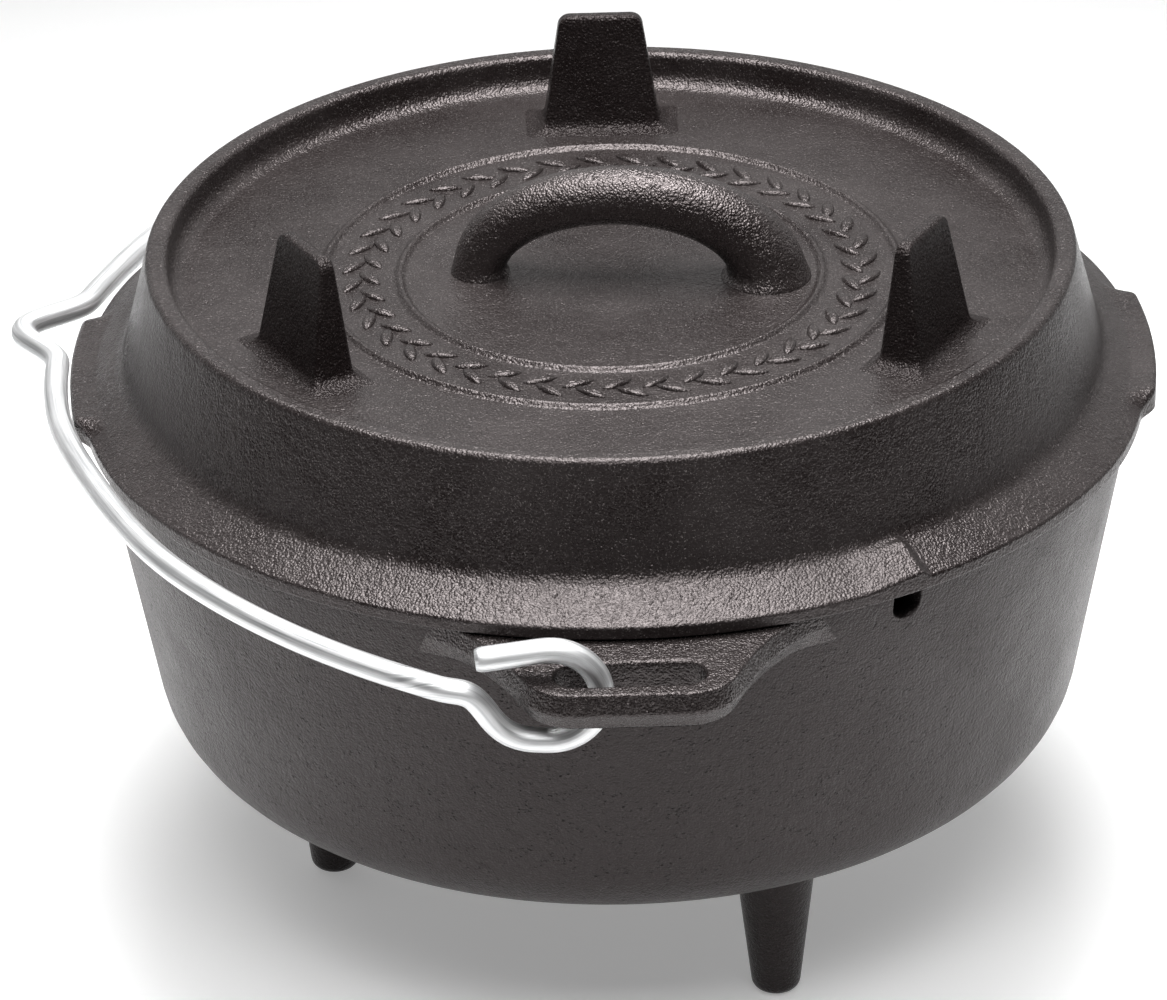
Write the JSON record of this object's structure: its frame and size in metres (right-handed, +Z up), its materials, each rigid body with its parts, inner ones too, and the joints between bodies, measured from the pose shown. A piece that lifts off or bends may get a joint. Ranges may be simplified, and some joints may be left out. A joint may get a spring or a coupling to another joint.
{
  "type": "camp dutch oven",
  "caption": "Round cast-iron camp oven on tapered legs: a dished lid that holds coals and stands upturned on its own feet, and a kinked wire bail hooked through slotted ears.",
  "frame": {"origin": "on the ground, under the middle of the pot", "axes": "+Z up; +Y from the front ear to the back ear; the bail rests on the -X side"},
  "size_m": [0.2379, 0.266, 0.1665],
  "materials": {
    "pot_iron": "seasoned, fine sand-cast grain",
    "lid_iron": "seasoned, fine sand-cast grain",
    "bail_steel": "bright plated drawn wire"
  },
  "bodies": {
    "pot": {"pot_bowl": "pot_iron", "pot_leg_left": "pot_iron", "pot_leg_front": "pot_iron", "pot_leg_back": "pot_iron", "pot_ear_front": "pot_iron", "pot_ear_back": "pot_iron"},
    "lid": {"lid_plate": "lid_iron", "lid_skirt": "lid_iron", "lid_handle": "lid_iron", "lid_foot_back": "lid_iron", "lid_foot_left": "lid_iron", "lid_foot_right": "lid_iron"},
    "bail": {"bail_wire": "bail_steel"}
  },
  "joints": [
    {"name": "lid_lift", "type": "slide", "parent": "pot", "child": "lid", "axis": [0, 0, 1], "range_m": [0, 0.16]},
    {"name": "bail_swing", "type": "hinge", "parent": "pot", "child": "bail", "pos_m": [-0.01831, 0, 0.1123], "axis": [0, 1, 0], "range_deg": [0, 125]}
  ]
}
